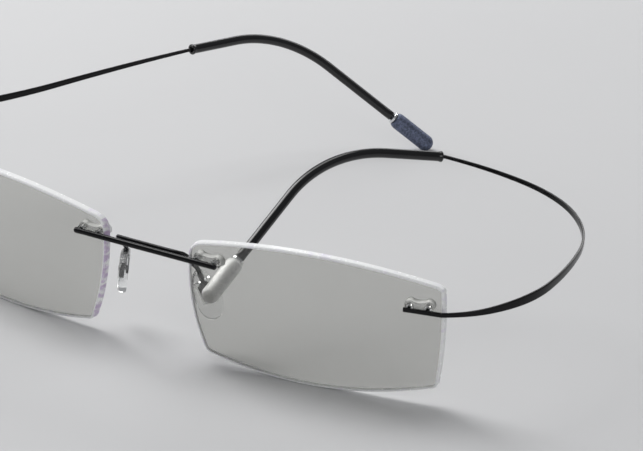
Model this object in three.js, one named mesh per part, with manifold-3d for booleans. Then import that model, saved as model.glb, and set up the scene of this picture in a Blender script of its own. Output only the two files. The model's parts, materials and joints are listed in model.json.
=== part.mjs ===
// Rimless eyeglasses: two clear lenses, a wire bridge with its nose-pad arms, and two
// hingeless temples, each a flat titanium strip that flexes along its length.
// Millimetres. +Z up, +X to the wearer's left, -Y the way the glasses look.
// The glasses stand on their lenses and one temple tip, with the left temple curled up
// behind its lens and the right temple reaching back.
import * as THREE from 'three';
import Module from 'manifold-3d';

const wasm = await Module();
wasm.setup();

const radians = THREE.MathUtils.degToRad;
const lerp = THREE.MathUtils.lerp;
const vec = (x, y, z) => new THREE.Vector3(x, y, z);
const LEFT = 1;
const RIGHT = -1;
const SIDES = [[LEFT, 'left'], [RIGHT, 'right']];

// ---- Driving dimensions, in millimetres and degrees ----

const LENS = {
  thickness: 1.6,
  baseRadius: 133.5, // radius of the lens's gentle bow
  bowCentre: [25, -8.5], // where the bow bulges furthest forward
  wrap: 9.3, // each lens turns back by this at its outer end
  lean: 5, // the whole front leans forward by this
  halfGap: 9.55, // half the gap between the two nasal edges
  setBack: 0.7, // front surface behind the bridge bar at the nasal edge
  corners: { // [outward, up] from the nasal end of the lens's axis
    nasalTop: [0, 2.2],
    outerTop: [50.4, 1.8],
    outerBottom: [49.2, -18.7],
    nasalBottom: [3.3, -19.6],
  },
  bulge: { top: 3.1, outer: 0.7, bottom: 2.85, nasal: 1.5 }, // how far each edge bows out
  cornerRadius: { nasalTop: 2.2, outerTop: 0.9, outerBottom: 0.35, nasalBottom: 0.35 },
};
const PIN = { radius: 0.3, boreRadius: 0.45, barrelRadius: 0.65, holeRadius: 0.85 };
const PLUG = {
  height: 1.9,
  plate: 1.0, // thickness of the plate that joins the two barrels
  tail: 0.3, // the barrels stand out behind the plate
  waist: 1.2,
  seatGap: 0.15, // between the lens and the plate
  barrelInset: 0.1, // the barrels end this far behind the lens's front
  overlap: 0.2, // the barrels reach this far into the plate
};
const BAR = { radius: 0.55, halfLength: 15.9, up: -1.05, pins: [1.3, 5.2] };
const BOW = { radius: 0.42, gap: 0.4, rise: 0.15 }; // behind and a little above the bar
const PADDLE = { width: 2.5, length: 4.3, thickness: 0.5, hole: 0.45 };
const PAD = {
  centre: [9.7, 8.0, 11.4], // of the left pad, above the table
  axis: [-0.254, -0.277, 0.926], // from the pad's bottom to its top
  inward: [-0.86, 0.51, 0], // towards the nose
  length: 10.8,
  width: 5.8,
  thickness: 1.9,
  play: 0.3, // clearance all round the paddle in its pocket
};
const STRIP = {
  start: [43.2, -2.7], // where the strip's end lies on the lens, outward and up
  thickness: 0.55,
  rootHeight: 0.85,
  fullHeight: 1.7,
  fullAt: 27,
  tailHeight: 0.65,
  pins: [0.9, 4.4], // along the strip
  flat: 7.2, // length lying along the lens
  bendLength: 9.4,
  bendAngle: 39.8,
  rootLength: 32, // up to the first of its four sections
  rootSweep: 35, // turn between the end of the bend and the first section
  sectionLength: 15.8, // the bend changes from one section of strip to the next
  rise: 9.18, // the strip climbs by this towards the ear
  flexes: [24.3, 47.8, 71.5, 95.2], // where it flexes, from its front end to its tail
  gap: 0.4, // between one length of strip and the next
  standOff: 0.35, // between the strip and the lens
};
const TILT = 5.4; // the strips flex about an axis that leans back by this
const TURNS = { // turn along each section of strip, and at the mouth of the sleeve
  left: [13.7, 34.1, 45, 25, 21.6],
  right: [32.4, -11.2, 2.3, 3.4, -8.5],
};
const SLEEVE = {
  radius: 0.95,
  bore: 0.62,
  flareRadius: 1.08,
  flareLength: 0.7,
  mouth: 0.6, // from the last flex to the mouth of the sleeve
  rise: 4.2,
  straight: 11.5,
  bendLength: 23.6,
  bendAngle: 50,
  inwardTilt: 36, // the ear bend drops down and in
  tail: 26.6, // from the bend to the centre of the tip's round end
};
const CORE = { radius: 0.4, intoTip: 5 };
const TIP = { radius: 1.7, length: 10.1, neckRadius: 1.45, bore: 0.62, boreDepth: 6 };
const RING = { radius: 1.3, length: 0.6, gap: 0.15 };

// ---- Materials ----

const paint = (color, roughness, metalness, opacity = 1) =>
  new THREE.MeshStandardMaterial({ color, roughness, metalness, opacity, transparent: opacity < 1 });
const MATERIALS = {
  lens: paint(0xcdd6d2, 0.05, 0, 0.35),
  blackTitanium: paint(0x0c0c0e, 0.25, 0.6),
  clearPlastic: paint(0xdfe6e6, 0.2, 0, 0.6),
  silicone: paint(0xd8dedd, 0.35, 0, 0.6),
  sleeve: paint(0x08080a, 0.2, 0),
  brushedMetal: paint(0xc4c6c8, 0.4, 1),
};

// ---- Building solids ----

const root = new THREE.Group();
root.name = 'rimless_eyeglasses';

function addPart(name, geometry, material) {
  const mesh = new THREE.Mesh(geometry, material);
  mesh.name = name;
  root.add(mesh);
}

function indexedGeometry(positions, triangles) {
  const geometry = new THREE.BufferGeometry();
  geometry.setAttribute('position', new THREE.Float32BufferAttribute(positions, 3));
  geometry.setIndex(signedVolume(positions, triangles) < 0 ? flipped(triangles) : triangles);
  return geometry;
}

function flipped(triangles) {
  const result = [];
  for (let i = 0; i < triangles.length; i += 3) {
    result.push(triangles[i], triangles[i + 2], triangles[i + 1]);
  }
  return result;
}

function signedVolume(positions, triangles) {
  const corner = (i) => vec(positions[3 * i], positions[3 * i + 1], positions[3 * i + 2]);
  let volume = 0;
  for (let i = 0; i < triangles.length; i += 3) {
    const [a, b, c] = [0, 1, 2].map((k) => corner(triangles[i + k]));
    volume += a.dot(b.cross(c)) / 6;
  }
  return volume;
}

// Skins a list of rings, each a list of the same number of points. An open skin is
// capped at both ends; a closed one joins its last ring to its first, as in a pipe.
function skin(rings, closed = false) {
  const count = rings[0].length;
  const positions = rings.flat().flatMap((point) => [point.x, point.y, point.z]);
  const triangles = [];
  const bands = closed ? rings.length : rings.length - 1;
  for (let band = 0; band < bands; band += 1) {
    const here = band * count;
    const next = ((band + 1) % rings.length) * count;
    for (let i = 0; i < count; i += 1) {
      const j = (i + 1) % count;
      triangles.push(here + i, here + j, next + j, here + i, next + j, next + i);
    }
  }
  if (!closed) {
    for (const [ring, reverse] of [[0, true], [rings.length - 1, false]]) {
      const centre = positions.length / 3;
      const middle = rings[ring].reduce((sum, point) => sum.add(point), vec(0, 0, 0));
      middle.divideScalar(count);
      positions.push(middle.x, middle.y, middle.z);
      for (let i = 0; i < count; i += 1) {
        const a = ring * count + i;
        const b = ring * count + ((i + 1) % count);
        triangles.push(...(reverse ? [centre, b, a] : [centre, a, b]));
      }
    }
  }
  return indexedGeometry(positions, triangles);
}

function toManifold(geometry) {
  const indices = geometry.getIndex().array;
  const positions = geometry.getAttribute('position').array;
  return new wasm.Manifold(new wasm.Mesh({
    numProp: 3,
    vertProperties: new Float32Array(positions),
    triVerts: new Uint32Array(indices),
  }));
}

function fromManifold(manifold) {
  const mesh = manifold.getMesh();
  return indexedGeometry(Array.from(mesh.vertProperties), Array.from(mesh.triVerts));
}

// Joins the first solids and cuts the others out of them.
function combine(joined, cuts = []) {
  let result = toManifold(joined[0]);
  for (const geometry of joined.slice(1)) {
    result = result.add(toManifold(geometry));
  }
  for (const geometry of cuts) {
    result = result.subtract(toManifold(geometry));
  }
  return fromManifold(result);
}

// A circle about `centre` across the direction `along`, with its first point towards `first`.
function circle(centre, along, first, radius, count) {
  const a = first.clone().projectOnPlane(along).normalize();
  const b = along.clone().normalize().cross(a);
  return Array.from({ length: count }, (_, i) => {
    const angle = (2 * Math.PI * i) / count;
    return centre.clone()
      .addScaledVector(a, radius * Math.cos(angle))
      .addScaledVector(b, radius * Math.sin(angle));
  });
}

// A solid turned about a line: `profile` is a list of [distance along, radius].
function turned(origin, along, first, profile, count = 20) {
  const direction = along.clone().normalize();
  return skin(profile.map(([distance, radius]) =>
    circle(origin.clone().addScaledVector(direction, distance), direction, first, radius, count)));
}

// A round rod between two points.
function rod(from, to, radius, first, count = 20) {
  const along = to.clone().sub(from);
  return turned(from, along, first, [[0, radius], [along.length(), radius]], count);
}

// Direction of travel at each point of a path.
function tangents(points) {
  return points.map((_, i) => {
    const before = points[Math.max(i - 1, 0)];
    const after = points[Math.min(i + 1, points.length - 1)];
    return after.clone().sub(before).normalize();
  });
}

// A round wire along a path, with radius a number or a list with one for each point.
function wireRings(points, radius, first, count) {
  const along = tangents(points);
  let reference = first.clone();
  return points.map((point, i) => {
    reference = reference.projectOnPlane(along[i]).normalize();
    const size = Array.isArray(radius) ? radius[i] : radius;
    return circle(point, along[i], reference, size, count);
  });
}

const wire = (points, radius, first, count = 12) => skin(wireRings(points, radius, first, count));

function pipe(points, outer, inner, first, count = 14) {
  const outside = wireRings(points, outer, first, count);
  const inside = wireRings(points, inner, first, count).reverse();
  return skin([...outside, ...inside], true);
}

// ---- The front's own axes ----

const ACROSS = vec(1, 0, 0);
const UP = vec(0, -Math.sin(radians(LENS.lean)), Math.cos(radians(LENS.lean)));
const BACK = vec(0, Math.cos(radians(LENS.lean)), Math.sin(radians(LENS.lean)));

const frontOrigin = vec(0, 0, 0); // the bridge's centre, raised below to stand on the table

function frontPoint(across, up, back) {
  return frontOrigin.clone()
    .addScaledVector(ACROSS, across)
    .addScaledVector(UP, up)
    .addScaledVector(BACK, back);
}

function lensAxes(side) {
  const wrap = radians(LENS.wrap);
  const outward = ACROSS.clone().multiplyScalar(side * Math.cos(wrap))
    .addScaledVector(BACK, Math.sin(wrap));
  const normal = ACROSS.clone().multiplyScalar(-side * Math.sin(wrap))
    .addScaledVector(BACK, Math.cos(wrap));
  return { outward, normal };
}

function lensBow(outward, up) {
  const [centreOut, centreUp] = LENS.bowCentre;
  const square = (outward - centreOut) ** 2 + (up - centreUp) ** 2;
  return (square - centreOut ** 2 - centreUp ** 2) / (2 * LENS.baseRadius);
}

// A point of a lens, at `depth` behind its front surface.
function lensPoint(side, out, up, depth) {
  const { outward, normal } = lensAxes(side);
  return frontPoint(side * LENS.halfGap, up, LENS.setBack)
    .addScaledVector(outward, out)
    .addScaledVector(normal, lensBow(out, up) + depth);
}

// Unit directions along and through the lens surface at a place on it.
function lensLocal(side, out, up) {
  const step = 0.5;
  const along = lensPoint(side, out + step, up, 0).sub(lensPoint(side, out - step, up, 0)).normalize();
  const through = lensPoint(side, out, up, 1).sub(lensPoint(side, out, up, 0));
  through.projectOnPlane(along).projectOnPlane(UP).normalize();
  return { along, through };
}

// ---- Lenses ----

// A bowed edge between two corners of the outline, as [outward, up] points.
function bowedEdge(from, to, bulge, steps) {
  const dx = to[0] - from[0];
  const dy = to[1] - from[1];
  const length = Math.hypot(dx, dy);
  return Array.from({ length: steps + 1 }, (_, i) => {
    const t = i / steps;
    const rise = bulge * 4 * t * (1 - t);
    return [from[0] + dx * t - (dy / length) * rise, from[1] + dy * t + (dx / length) * rise];
  });
}

// Cuts an edge back from both ends and joins it to the next with a rounded corner.
function lensOutline() {
  const { nasalTop, outerTop, outerBottom, nasalBottom } = LENS.corners;
  const radius = LENS.cornerRadius;
  const edges = [
    { points: bowedEdge(nasalTop, outerTop, LENS.bulge.top, 48), end: radius.outerTop },
    { points: bowedEdge(outerTop, outerBottom, LENS.bulge.outer, 24), end: radius.outerBottom },
    { points: bowedEdge(outerBottom, nasalBottom, LENS.bulge.bottom, 48), end: radius.nasalBottom },
    { points: bowedEdge(nasalBottom, nasalTop, LENS.bulge.nasal, 24), end: radius.nasalTop },
  ];
  const distance = (a, b) => Math.hypot(a[0] - b[0], a[1] - b[1]);
  const outline = [];
  edges.forEach((edge, index) => {
    const startCut = edges[(index + 3) % 4].end;
    const first = edge.points[0];
    const last = edge.points[edge.points.length - 1];
    const kept = edge.points.filter((p) => distance(p, first) >= startCut && distance(p, last) >= edge.end);
    outline.push(...kept.filter((_, i) => i % 2 === 0 || i === kept.length - 1));
    const next = edges[(index + 1) % 4].points;
    const onward = next.find((p) => distance(p, last) >= edge.end);
    const from = kept[kept.length - 1];
    for (const t of [0.25, 0.5, 0.75]) {
      outline.push([0, 1].map((k) =>
        (1 - t) ** 2 * from[k] + 2 * t * (1 - t) * last[k] + t ** 2 * onward[k]));
    }
  });
  return outline;
}

const OUTLINE = lensOutline();
const OUTLINE_CENTRE = [25, -9];

function lensBlank(side) {
  const shrink = (scale, depth) => OUTLINE.map(([out, up]) => lensPoint(
    side,
    lerp(OUTLINE_CENTRE[0], out, scale),
    lerp(OUTLINE_CENTRE[1], up, scale),
    depth,
  ));
  const scales = [0.3, 0.65, 1];
  const rings = [
    ...scales.map((scale) => shrink(scale, 0)),
    ...scales.slice().reverse().map((scale) => shrink(scale, LENS.thickness)),
  ];
  return skin(rings);
}

// The places where pins go through a lens: two by the bridge, two by the temple.
function pinPlaces(side) {
  const bridge = BAR.pins.map((out) => ({ out, up: BAR.up }));
  const direction = stripStart(side).along;
  const { outward } = lensAxes(side);
  const temple = STRIP.pins.map((distance) => {
    return { out: STRIP.start[0] + distance * direction.dot(outward), up: STRIP.start[1] };
  });
  return { bridge, temple };
}

function buildLens(side) {
  const { bridge, temple } = pinPlaces(side);
  const holes = [...bridge, ...temple].map(({ out, up }) => {
    const { through } = lensLocal(side, out, up);
    const from = lensPoint(side, out, up, 0).addScaledVector(through, -1);
    const to = lensPoint(side, out, up, 0).addScaledVector(through, LENS.thickness + 1);
    return rod(from, to, PIN.holeRadius, UP);
  });
  return combine([lensBlank(side)], holes);
}

// ---- Clear plugs that grip the pins, behind each lens ----

function buildPlug(side, places) {
  const middle = (places[0].out + places[1].out) / 2;
  const { along, through } = lensLocal(side, middle, places[0].up);
  const seat = LENS.thickness + PLUG.seatGap;
  const plate = [];
  for (const place of places) {
    const base = lensPoint(side, place.out, place.up, 0);
    const at = (depth) => base.clone().addScaledVector(through, depth);
    plate.push(rod(at(seat), at(seat + PLUG.plate + PLUG.tail), PLUG.height / 2, UP));
    plate.push(rod(at(PLUG.barrelInset), at(seat + PLUG.overlap), PIN.barrelRadius, UP));
  }
  const ends = places.map((place) => lensPoint(side, place.out, place.up, 0));
  const waist = [seat, seat + PLUG.plate].map((depth) => {
    const half = PLUG.waist / 2;
    const corner = (end, up) => end.clone().addScaledVector(through, depth).addScaledVector(UP, up);
    return [corner(ends[0], -half), corner(ends[1], -half), corner(ends[1], half), corner(ends[0], half)];
  });
  const bores = places.map((place) => {
    const base = lensPoint(side, place.out, place.up, 0);
    const at = (depth) => base.clone().addScaledVector(through, depth);
    return rod(at(-0.5), at(seat + PLUG.plate + PLUG.tail + 1), PIN.boreRadius, UP);
  });
  return combine([...plate, skin(waist)], bores);
}

// ---- Bridge ----

const pinEnd = LENS.thickness + PLUG.plate + PLUG.tail;

function buildBridgeBar() {
  const solids = [];
  const roundEnd = [[0, 0.12], [0.12, 0.32], [0.3, 0.46], [BAR.radius, BAR.radius]];
  const length = 2 * BAR.halfLength;
  const profile = [
    ...roundEnd,
    ...roundEnd.slice().reverse().map(([along, radius]) => [length - along, radius]),
  ];
  solids.push(turned(frontPoint(-BAR.halfLength, BAR.up, 0), ACROSS, UP, profile, 16));
  for (const [side] of SIDES) {
    for (const out of BAR.pins) {
      const { through } = lensLocal(side, out, BAR.up);
      const surface = lensPoint(side, out, BAR.up, 0);
      const inBar = surface.clone();
      inBar.addScaledVector(through, -surface.clone().sub(frontOrigin).dot(BACK) / through.dot(BACK));
      solids.push(rod(inBar, surface.clone().addScaledVector(through, pinEnd), PIN.radius, UP, 16));
    }
  }
  return combine(solids);
}

const padAxis = (side) => vec(side * PAD.axis[0], PAD.axis[1], PAD.axis[2]).normalize();
const padInward = (side) =>
  vec(side * PAD.inward[0], PAD.inward[1], PAD.inward[2]).projectOnPlane(padAxis(side)).normalize();
const padCentre = (side) => vec(side * PAD.centre[0], PAD.centre[1], PAD.centre[2]);

// A box with its middle at `centre`, long along `axis` and thin along `thin`.
function slab(centre, axis, thin, width, length, thickness) {
  const wide = axis.clone().cross(thin).normalize();
  const corner = (a, b, c) => centre.clone()
    .addScaledVector(wide, (a * width) / 2)
    .addScaledVector(axis, (b * length) / 2)
    .addScaledVector(thin, (c * thickness) / 2);
  const ring = (b) => [corner(-1, b, -1), corner(1, b, -1), corner(1, b, 1), corner(-1, b, 1)];
  return skin([ring(-1), ring(1)]);
}

const PADDLE_SHIFT = 0.9; // the paddle sits this far above the pad's middle

function bowPath() {
  const behind = BAR.radius + BOW.gap + BOW.radius;
  const middle = frontPoint(0, BAR.up + BOW.rise, behind);
  const half = (side) => {
    const top = padCentre(side).addScaledVector(padAxis(side), PAD.length / 2 + 0.6);
    const paddleTop = padCentre(side).addScaledVector(padAxis(side), PADDLE_SHIFT + PADDLE.length / 2 - 0.3);
    return [
      middle.clone().addScaledVector(ACROSS, side * 4.6),
      middle.clone().add(vec(side * 6.6, 0.25, -0.1)),
      middle.clone().add(vec(side * 7.5, 1.2, -0.7)),
      top,
      top.clone().lerp(paddleTop, 0.5),
      paddleTop,
    ];
  };
  const points = [...half(RIGHT).reverse(), middle, ...half(LEFT)];
  return new THREE.CatmullRomCurve3(points, false, 'centripetal').getSpacedPoints(84);
}

function buildPadArmBow() {
  const paddles = SIDES.map(([side]) => {
    const centre = padCentre(side).addScaledVector(padAxis(side), PADDLE_SHIFT);
    return slab(centre, padAxis(side), padInward(side), PADDLE.width, PADDLE.length, PADDLE.thickness);
  });
  const holes = SIDES.map(([side]) => {
    const centre = padCentre(side).addScaledVector(padAxis(side), PADDLE_SHIFT - 0.5);
    const inward = padInward(side);
    return rod(
      centre.clone().addScaledVector(inward, -1),
      centre.clone().addScaledVector(inward, 1),
      PADDLE.hole,
      padAxis(side),
      12,
    );
  });
  return combine([wire(bowPath(), BOW.radius, BACK), ...paddles], holes);
}

// A soft pad: flat towards the nose, domed away from it, with a pocket for the paddle.
function buildNosePad(side) {
  const axis = padAxis(side);
  const inward = padInward(side);
  const wide = axis.clone().cross(inward).normalize();
  const count = 28;
  const outline = (scale) => Array.from({ length: count }, (_, i) => {
    const angle = (2 * Math.PI * i) / count;
    const along = Math.sin(angle);
    const taper = lerp(1, 0.78, (along + 1) / 2);
    return [scale * (PAD.width / 2) * taper * Math.cos(angle), scale * (PAD.length / 2) * along];
  });
  const layer = (scale, depth) => outline(scale).map(([a, b]) => padCentre(side)
    .addScaledVector(wide, a)
    .addScaledVector(axis, b)
    .addScaledVector(inward, depth));
  const half = PAD.thickness / 2;
  const body = skin([
    layer(0.62, -half),
    layer(0.86, -half * 0.8),
    layer(0.97, -half * 0.4),
    layer(1, 0.1),
    layer(0.98, half * 0.6),
    layer(0.9, half),
  ]);
  const pocketLength = PADDLE.length + 2 * PAD.play;
  const pocket = slab(
    padCentre(side).addScaledVector(axis, PADDLE_SHIFT),
    axis, inward,
    PADDLE.width + 2 * PAD.play, pocketLength, PADDLE.thickness + 2 * PAD.play,
  );
  const channel = slab(
    padCentre(side).addScaledVector(axis, PADDLE_SHIFT + PAD.length / 2),
    axis, inward,
    2 * (BOW.radius + PAD.play), PAD.length, 2 * (BOW.radius + PAD.play),
  );
  return combine([body], [pocket, channel]);
}

// ---- Temples ----

// The axes that the strips flex in: the table's X, and two directions tilted back.
const FLEX_UP = vec(0, Math.sin(radians(TILT)), Math.cos(radians(TILT)));
const FLEX_BACK = vec(0, Math.cos(radians(TILT)), -Math.sin(radians(TILT)));

function heading(side, turn, rise) {
  const level = vec(side * Math.cos(radians(turn)), 0, 0)
    .addScaledVector(FLEX_BACK, Math.sin(radians(turn)));
  return level.multiplyScalar(Math.cos(radians(rise)))
    .addScaledVector(FLEX_UP, Math.sin(radians(rise)));
}

function stripStart(side) {
  const [out, up] = STRIP.start;
  const { along, through } = lensLocal(side, out, up);
  const offset = STRIP.thickness / 2 + STRIP.standOff;
  const point = lensPoint(side, out, up, 0).addScaledVector(through, -offset);
  const turn = THREE.MathUtils.radToDeg(Math.asin(along.dot(FLEX_BACK)));
  return { point, along, through, turn };
}

function stripHeight(distance) {
  const end = STRIP.rootLength + 4 * STRIP.sectionLength;
  if (distance > STRIP.fullAt) {
    return lerp(STRIP.fullHeight, STRIP.tailHeight, (distance - STRIP.fullAt) / (end - STRIP.fullAt));
  }
  const t = THREE.MathUtils.smoothstep(distance, STRIP.flat, STRIP.fullAt);
  return lerp(STRIP.rootHeight, STRIP.fullHeight, t);
}

// Walks along the temple from the lens: every point with its heading and distance, and
// the indices of the points where the strip flexes.
function templePath(side, turns) {
  const start = stripStart(side);
  const path = [{ point: start.point.clone(), turn: start.turn, rise: 0, distance: 0 }];
  const walk = (length, turn, rise, steps) => {
    for (let i = 0; i < steps; i += 1) {
      const last = path[path.length - 1];
      const direction = heading(side, last.turn + turn / steps / 2, rise);
      path.push({
        point: last.point.clone().addScaledVector(direction, length / steps),
        turn: last.turn + turn / steps,
        rise,
        distance: last.distance + length / steps,
      });
    }
  };
  walk(STRIP.flat, 0, 0.5, 4);
  walk(STRIP.bendLength, STRIP.bendAngle, STRIP.rise, 8);
  walk(STRIP.rootLength - STRIP.flat - STRIP.bendLength, STRIP.rootSweep, STRIP.rise, 8);
  for (const turn of turns.slice(0, 4)) {
    walk(STRIP.sectionLength, turn, STRIP.rise, 8);
  }
  const marks = STRIP.flexes.map((flex) => path.findIndex(({ distance }) => distance > flex - 0.01));
  return { path, marks };
}

// One length of strip, cut back at its ends to leave the gap to its neighbours.
function stripSolid(side, path, trimStart, trimEnd) {
  const last = path.length - 1;
  const rings = path.map((step, i) => {
    const point = step.point.clone();
    const direction = heading(side, step.turn, step.rise);
    if (i === 0) point.addScaledVector(direction, trimStart);
    if (i === last) point.addScaledVector(direction, -trimEnd);
    const thin = FLEX_UP.clone().cross(direction).normalize();
    const height = stripHeight(step.distance) / 2;
    const half = STRIP.thickness / 2;
    const chamfer = 0.15;
    const corners = [
      [-half, -height + chamfer], [-half + chamfer, -height], [half - chamfer, -height],
      [half, -height + chamfer], [half, height - chamfer], [half - chamfer, height],
      [-half + chamfer, height], [-half, height - chamfer],
    ];
    return corners.map(([a, b]) => point.clone().addScaledVector(thin, a).addScaledVector(FLEX_UP, b));
  });
  return skin(rings);
}

// The sleeve's centre line, from its mouth over the ear bend to the tip's round end.
function sleevePath(side, mouth, turn) {
  const ahead = heading(side, turn, SLEEVE.rise);
  const above = FLEX_UP.clone().projectOnPlane(ahead).normalize();
  const inward = above.clone().cross(ahead).multiplyScalar(side);
  const tilt = radians(SLEEVE.inwardTilt);
  const drop = above.multiplyScalar(-Math.cos(tilt)).addScaledVector(inward, Math.sin(tilt));
  const bend = radians(SLEEVE.bendAngle);
  const bendRadius = SLEEVE.bendLength / bend;
  const points = [];
  for (let i = 0; i <= 4; i += 1) {
    points.push(mouth.clone().addScaledVector(ahead, (SLEEVE.straight * i) / 4));
  }
  const corner = points[points.length - 1];
  for (let i = 1; i <= 14; i += 1) {
    const angle = (bend * i) / 14;
    points.push(corner.clone()
      .addScaledVector(ahead, bendRadius * Math.sin(angle))
      .addScaledVector(drop, bendRadius * (1 - Math.cos(angle))));
  }
  const onward = ahead.clone().multiplyScalar(Math.cos(bend)).addScaledVector(drop, Math.sin(bend));
  const tailStart = points[points.length - 1];
  const tail = SLEEVE.tail - (TIP.length - TIP.radius) - RING.length - 2 * RING.gap;
  for (let i = 1; i <= 6; i += 1) {
    points.push(tailStart.clone().addScaledVector(onward, (tail * i) / 6));
  }
  return { points, ahead, onward, across: ahead.clone().cross(drop) };
}

function buildSleeve(points, ahead, across) {
  const start = points[0];
  const path = [
    start,
    start.clone().addScaledVector(ahead, SLEEVE.flareLength / 2),
    start.clone().addScaledVector(ahead, SLEEVE.flareLength),
    ...points.slice(1),
  ];
  const outer = path.map((_, i) => [SLEEVE.flareRadius, SLEEVE.flareRadius][i] ?? SLEEVE.radius);
  return pipe(path, outer, SLEEVE.bore, across);
}

function buildRing(end, onward, across) {
  const from = end.clone().addScaledVector(onward, RING.gap);
  const to = from.clone().addScaledVector(onward, RING.length);
  return pipe([from, to], RING.radius, SLEEVE.bore, across, 20);
}

function buildTip(end, onward, across) {
  const start = end.clone().addScaledVector(onward, RING.length + 2 * RING.gap);
  const straight = TIP.length - TIP.radius;
  const dome = [0.25, 0.5, 0.75, 0.93].map((t) => {
    const angle = (t * Math.PI) / 2;
    return [straight + TIP.radius * Math.sin(angle), TIP.radius * Math.cos(angle)];
  });
  const outside = [
    [0, TIP.neckRadius], [0.3, TIP.radius - 0.07], [0.8, TIP.radius], [straight, TIP.radius], ...dome,
  ];
  const blank = turned(start, onward, across, outside, 20);
  const bore = turned(start, onward, across, [[-1, TIP.bore], [TIP.boreDepth, TIP.bore]], 14);
  return combine([blank], [bore]);
}

function buildTemple(side, name) {
  const { path, marks } = templePath(side, TURNS[name]);
  const half = STRIP.gap / 2;
  const pins = pinPlaces(side).temple.map(({ out, up }) => {
    const { through } = lensLocal(side, out, up);
    const surface = lensPoint(side, out, up, 0);
    const depth = STRIP.thickness / 2 + STRIP.standOff;
    return rod(
      surface.clone().addScaledVector(through, -depth),
      surface.clone().addScaledVector(through, pinEnd),
      PIN.radius, UP, 16,
    );
  });
  const rootStrip = stripSolid(side, path.slice(0, marks[0] + 1), 0, half);
  addPart(`temple_strip_${name}_root`, combine([rootStrip, ...pins]), MATERIALS.blackTitanium);
  for (let link = 1; link < marks.length; link += 1) {
    const steps = path.slice(marks[link - 1], marks[link] + 1);
    addPart(`temple_strip_${name}_${link}`, stripSolid(side, steps, half, half), MATERIALS.blackTitanium);
  }
  const last = path[path.length - 1];
  const turn = last.turn + TURNS[name][4];
  const ahead = heading(side, turn, SLEEVE.rise);
  const mouth = last.point.clone().addScaledVector(ahead, SLEEVE.mouth);
  const { points, onward, across } = sleevePath(side, mouth, turn);
  const end = points[points.length - 1];
  const corePath = [
    last.point.clone().addScaledVector(ahead, half),
    ...points,
    end.clone().addScaledVector(onward, CORE.intoTip),
  ];
  addPart(`temple_core_wire_${name}`, wire(corePath, CORE.radius, across, 10), MATERIALS.blackTitanium);
  addPart(`ear_sleeve_${name}`, buildSleeve(points, ahead, across), MATERIALS.sleeve);
  addPart(`tip_ring_${name}`, buildRing(end, onward, across), MATERIALS.brushedMetal);
  addPart(`temple_tip_${name}`, buildTip(end, onward, across), MATERIALS.brushedMetal);
}

// ---- Assembly ----

// Raises the front so that its lenses stand on the table.
const lowest = Math.min(...SIDES.flatMap(([side]) => OUTLINE.flatMap(([out, up]) =>
  [0, LENS.thickness].map((depth) => lensPoint(side, out, up, depth).z))));
frontOrigin.z = -lowest;

for (const [side, name] of SIDES) {
  addPart(`lens_${name}`, buildLens(side), MATERIALS.lens);
  const { bridge, temple } = pinPlaces(side);
  addPart(`bridge_plug_${name}`, buildPlug(side, bridge), MATERIALS.clearPlastic);
  addPart(`temple_plug_${name}`, buildPlug(side, temple), MATERIALS.clearPlastic);
  addPart(`nose_pad_${name}`, buildNosePad(side), MATERIALS.silicone);
  buildTemple(side, name);
}
addPart('bridge_bar', buildBridgeBar(), MATERIALS.blackTitanium);
addPart('pad_arm_bow', buildPadArmBow(), MATERIALS.blackTitanium);

// Puts the origin on the table, under the middle of the whole object.
const extent = new THREE.Box3().setFromObject(root);
const middle = extent.getCenter(vec(0, 0, 0));
for (const mesh of root.children) {
  mesh.geometry.translate(-middle.x, -middle.y, -extent.min.z);
  mesh.geometry.computeVertexNormals();
}

export default root;
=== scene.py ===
"""Looks for the rimless eyeglasses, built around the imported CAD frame.

Lengths are in millimetres in the dimensions below, in the part's own axes before it is set on
its origin. `placed` turns them into metres in the row frame.
"""

import json
import math

import bmesh
import bpy
import numpy as np
from mathutils import Matrix, Vector


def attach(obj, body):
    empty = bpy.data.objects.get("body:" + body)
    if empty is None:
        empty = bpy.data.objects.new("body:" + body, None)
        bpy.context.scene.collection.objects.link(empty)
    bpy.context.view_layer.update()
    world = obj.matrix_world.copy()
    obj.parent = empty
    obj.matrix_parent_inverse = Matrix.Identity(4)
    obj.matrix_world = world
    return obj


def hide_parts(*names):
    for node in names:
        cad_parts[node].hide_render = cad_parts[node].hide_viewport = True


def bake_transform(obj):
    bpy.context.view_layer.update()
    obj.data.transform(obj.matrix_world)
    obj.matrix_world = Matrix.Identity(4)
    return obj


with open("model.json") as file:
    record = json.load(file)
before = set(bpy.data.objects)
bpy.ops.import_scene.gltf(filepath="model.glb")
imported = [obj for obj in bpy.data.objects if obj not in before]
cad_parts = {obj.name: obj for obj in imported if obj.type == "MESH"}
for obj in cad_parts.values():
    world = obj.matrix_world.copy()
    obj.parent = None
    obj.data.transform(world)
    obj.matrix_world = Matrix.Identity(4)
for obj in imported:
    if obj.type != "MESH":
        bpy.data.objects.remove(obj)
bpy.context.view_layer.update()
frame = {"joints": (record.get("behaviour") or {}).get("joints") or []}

SIDES = {"left": 1, "right": -1}
SHARP_ANGLE = 35
FLOOR_HALF_SIZE = 3

# ---- Camera ----

# Its place is in metres, its angles are in degrees and its lens is in millimetres.
CAMERA_PLACE = (0.4344, -0.7401, 0.3433)
CAMERA_AZIMUTH = 30.36
CAMERA_ELEVATION = 21.5
CAMERA_ROLL = 2.55
CAMERA_LENS = 259.6

# ---- Light ----

# Each area light: its place and size in metres, and its power in watts. All point at the origin.
LIGHTS = {
    "overhead": ((-0.3, 0.2, 0.9), (0.7, 0.5), 3),
    "behind": ((-0.1, 1.0, 0.55), (1.2, 0.25), 3),
    "left_strip": ((-0.8, 0.1, 0.55), (0.5, 1.2), 9),
    "fill": ((0.8, -0.7, 0.6), (0.6, 0.6), 2.2),
}
WORLD_COLOUR = (0.9, 0.92, 0.95, 1)
WORLD_STRENGTH = 0.24

# ---- Dimensions, as in the CAD source ----

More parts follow.
